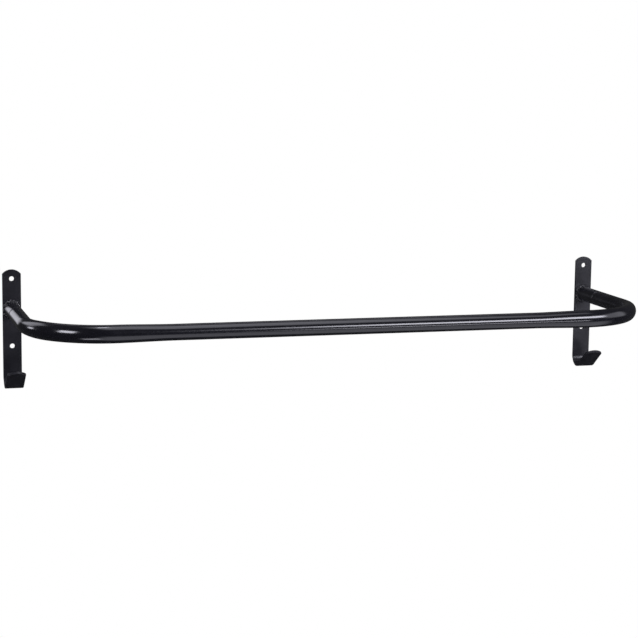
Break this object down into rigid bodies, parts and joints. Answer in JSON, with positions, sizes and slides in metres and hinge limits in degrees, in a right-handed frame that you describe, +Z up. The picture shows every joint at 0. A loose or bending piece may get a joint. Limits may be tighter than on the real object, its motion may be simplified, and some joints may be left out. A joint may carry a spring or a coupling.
{
  "type": "wall-mounted saddle pad rack",
  "caption": "Wall-mounted tack bar: a round tube bent into a wide U, pushed onto swaged stubs on strap brackets whose lower ends are bent out into hooks.",
  "frame": {"origin": "centre of the four screw holes, on the wall plane", "axes": "+X along the bar to the right as seen from the room, +Y into the wall, +Z up"},
  "size_m": [1.03, 0.2977, 0.192],
  "materials": {
    "strap_coat": "satin black powder coat on flat steel strap",
    "spigot_coat": "semi-gloss black powder coat on steel tube",
    "weld_coat": "semi-gloss black powder coat over an uneven weld",
    "bar_coat": "glossy black powder coat on steel tube"
  },
  "bodies": {
    "wall_brackets": {"left_wall_bracket": "strap_coat", "right_wall_bracket": "strap_coat", "left_spigot": "spigot_coat", "right_spigot": "spigot_coat", "left_weld_bead": "weld_coat", "right_weld_bead": "weld_coat"},
    "pull_off_bar": {"bar": "bar_coat"}
  },
  "joints": [
    {"name": "bar_slide", "type": "slide", "parent": "wall_brackets", "child": "pull_off_bar", "axis": [0, -1, 0], "range_m": [0, 0.1]}
  ]
}
